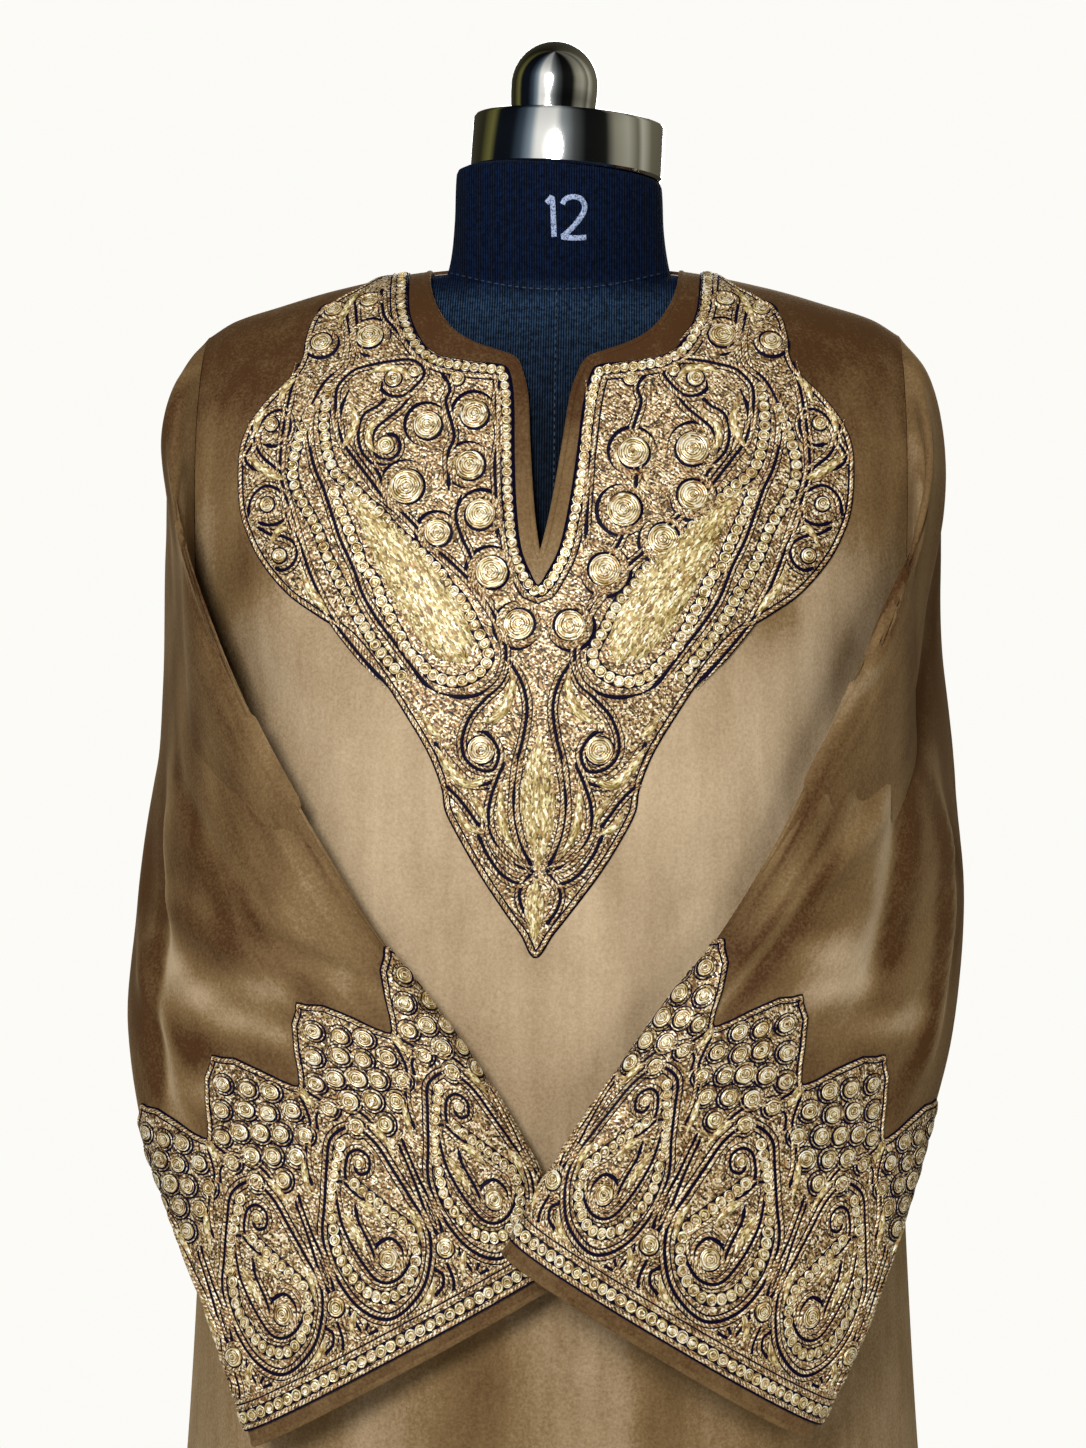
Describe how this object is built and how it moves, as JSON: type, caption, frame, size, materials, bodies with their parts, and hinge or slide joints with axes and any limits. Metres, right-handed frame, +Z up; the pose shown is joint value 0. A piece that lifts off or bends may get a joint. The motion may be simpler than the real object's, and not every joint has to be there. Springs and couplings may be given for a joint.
{
  "type": "pheran on a dress form",
  "caption": "Long loose velvet robe with wide sleeves folded across the front and metal thread embroidery, worn by a limbless dress form on a pole stand.",
  "frame": {"origin": "middle of the base's underside, on the floor under the pole", "axes": "+Z up along the pole, -Y the way the robe's front faces, +X to the viewer's right"},
  "size_m": [0.504, 0.3919, 1.5308],
  "materials": {
    "velvet": "taupe brown velvet with a short pile",
    "metal_thread": "gold and copper metal thread couched over the cloth",
    "jersey": "navy black fine rib jersey",
    "chrome": "polished"
  },
  "bodies": {
    "root": {"front": "velvet", "back": "velvet", "right_sleeve": "velvet", "left_sleeve": "velvet", "yoke_embroidery": "metal_thread", "right_cuff_embroidery": "metal_thread", "left_cuff_embroidery": "metal_thread", "neck_binding_front": "velvet", "neck_binding_back": "velvet", "form_torso": "jersey", "form_neck_cap": "chrome", "form_finial": "chrome", "form_pole": "chrome", "form_base": "chrome"}
  },
  "joints": []
}
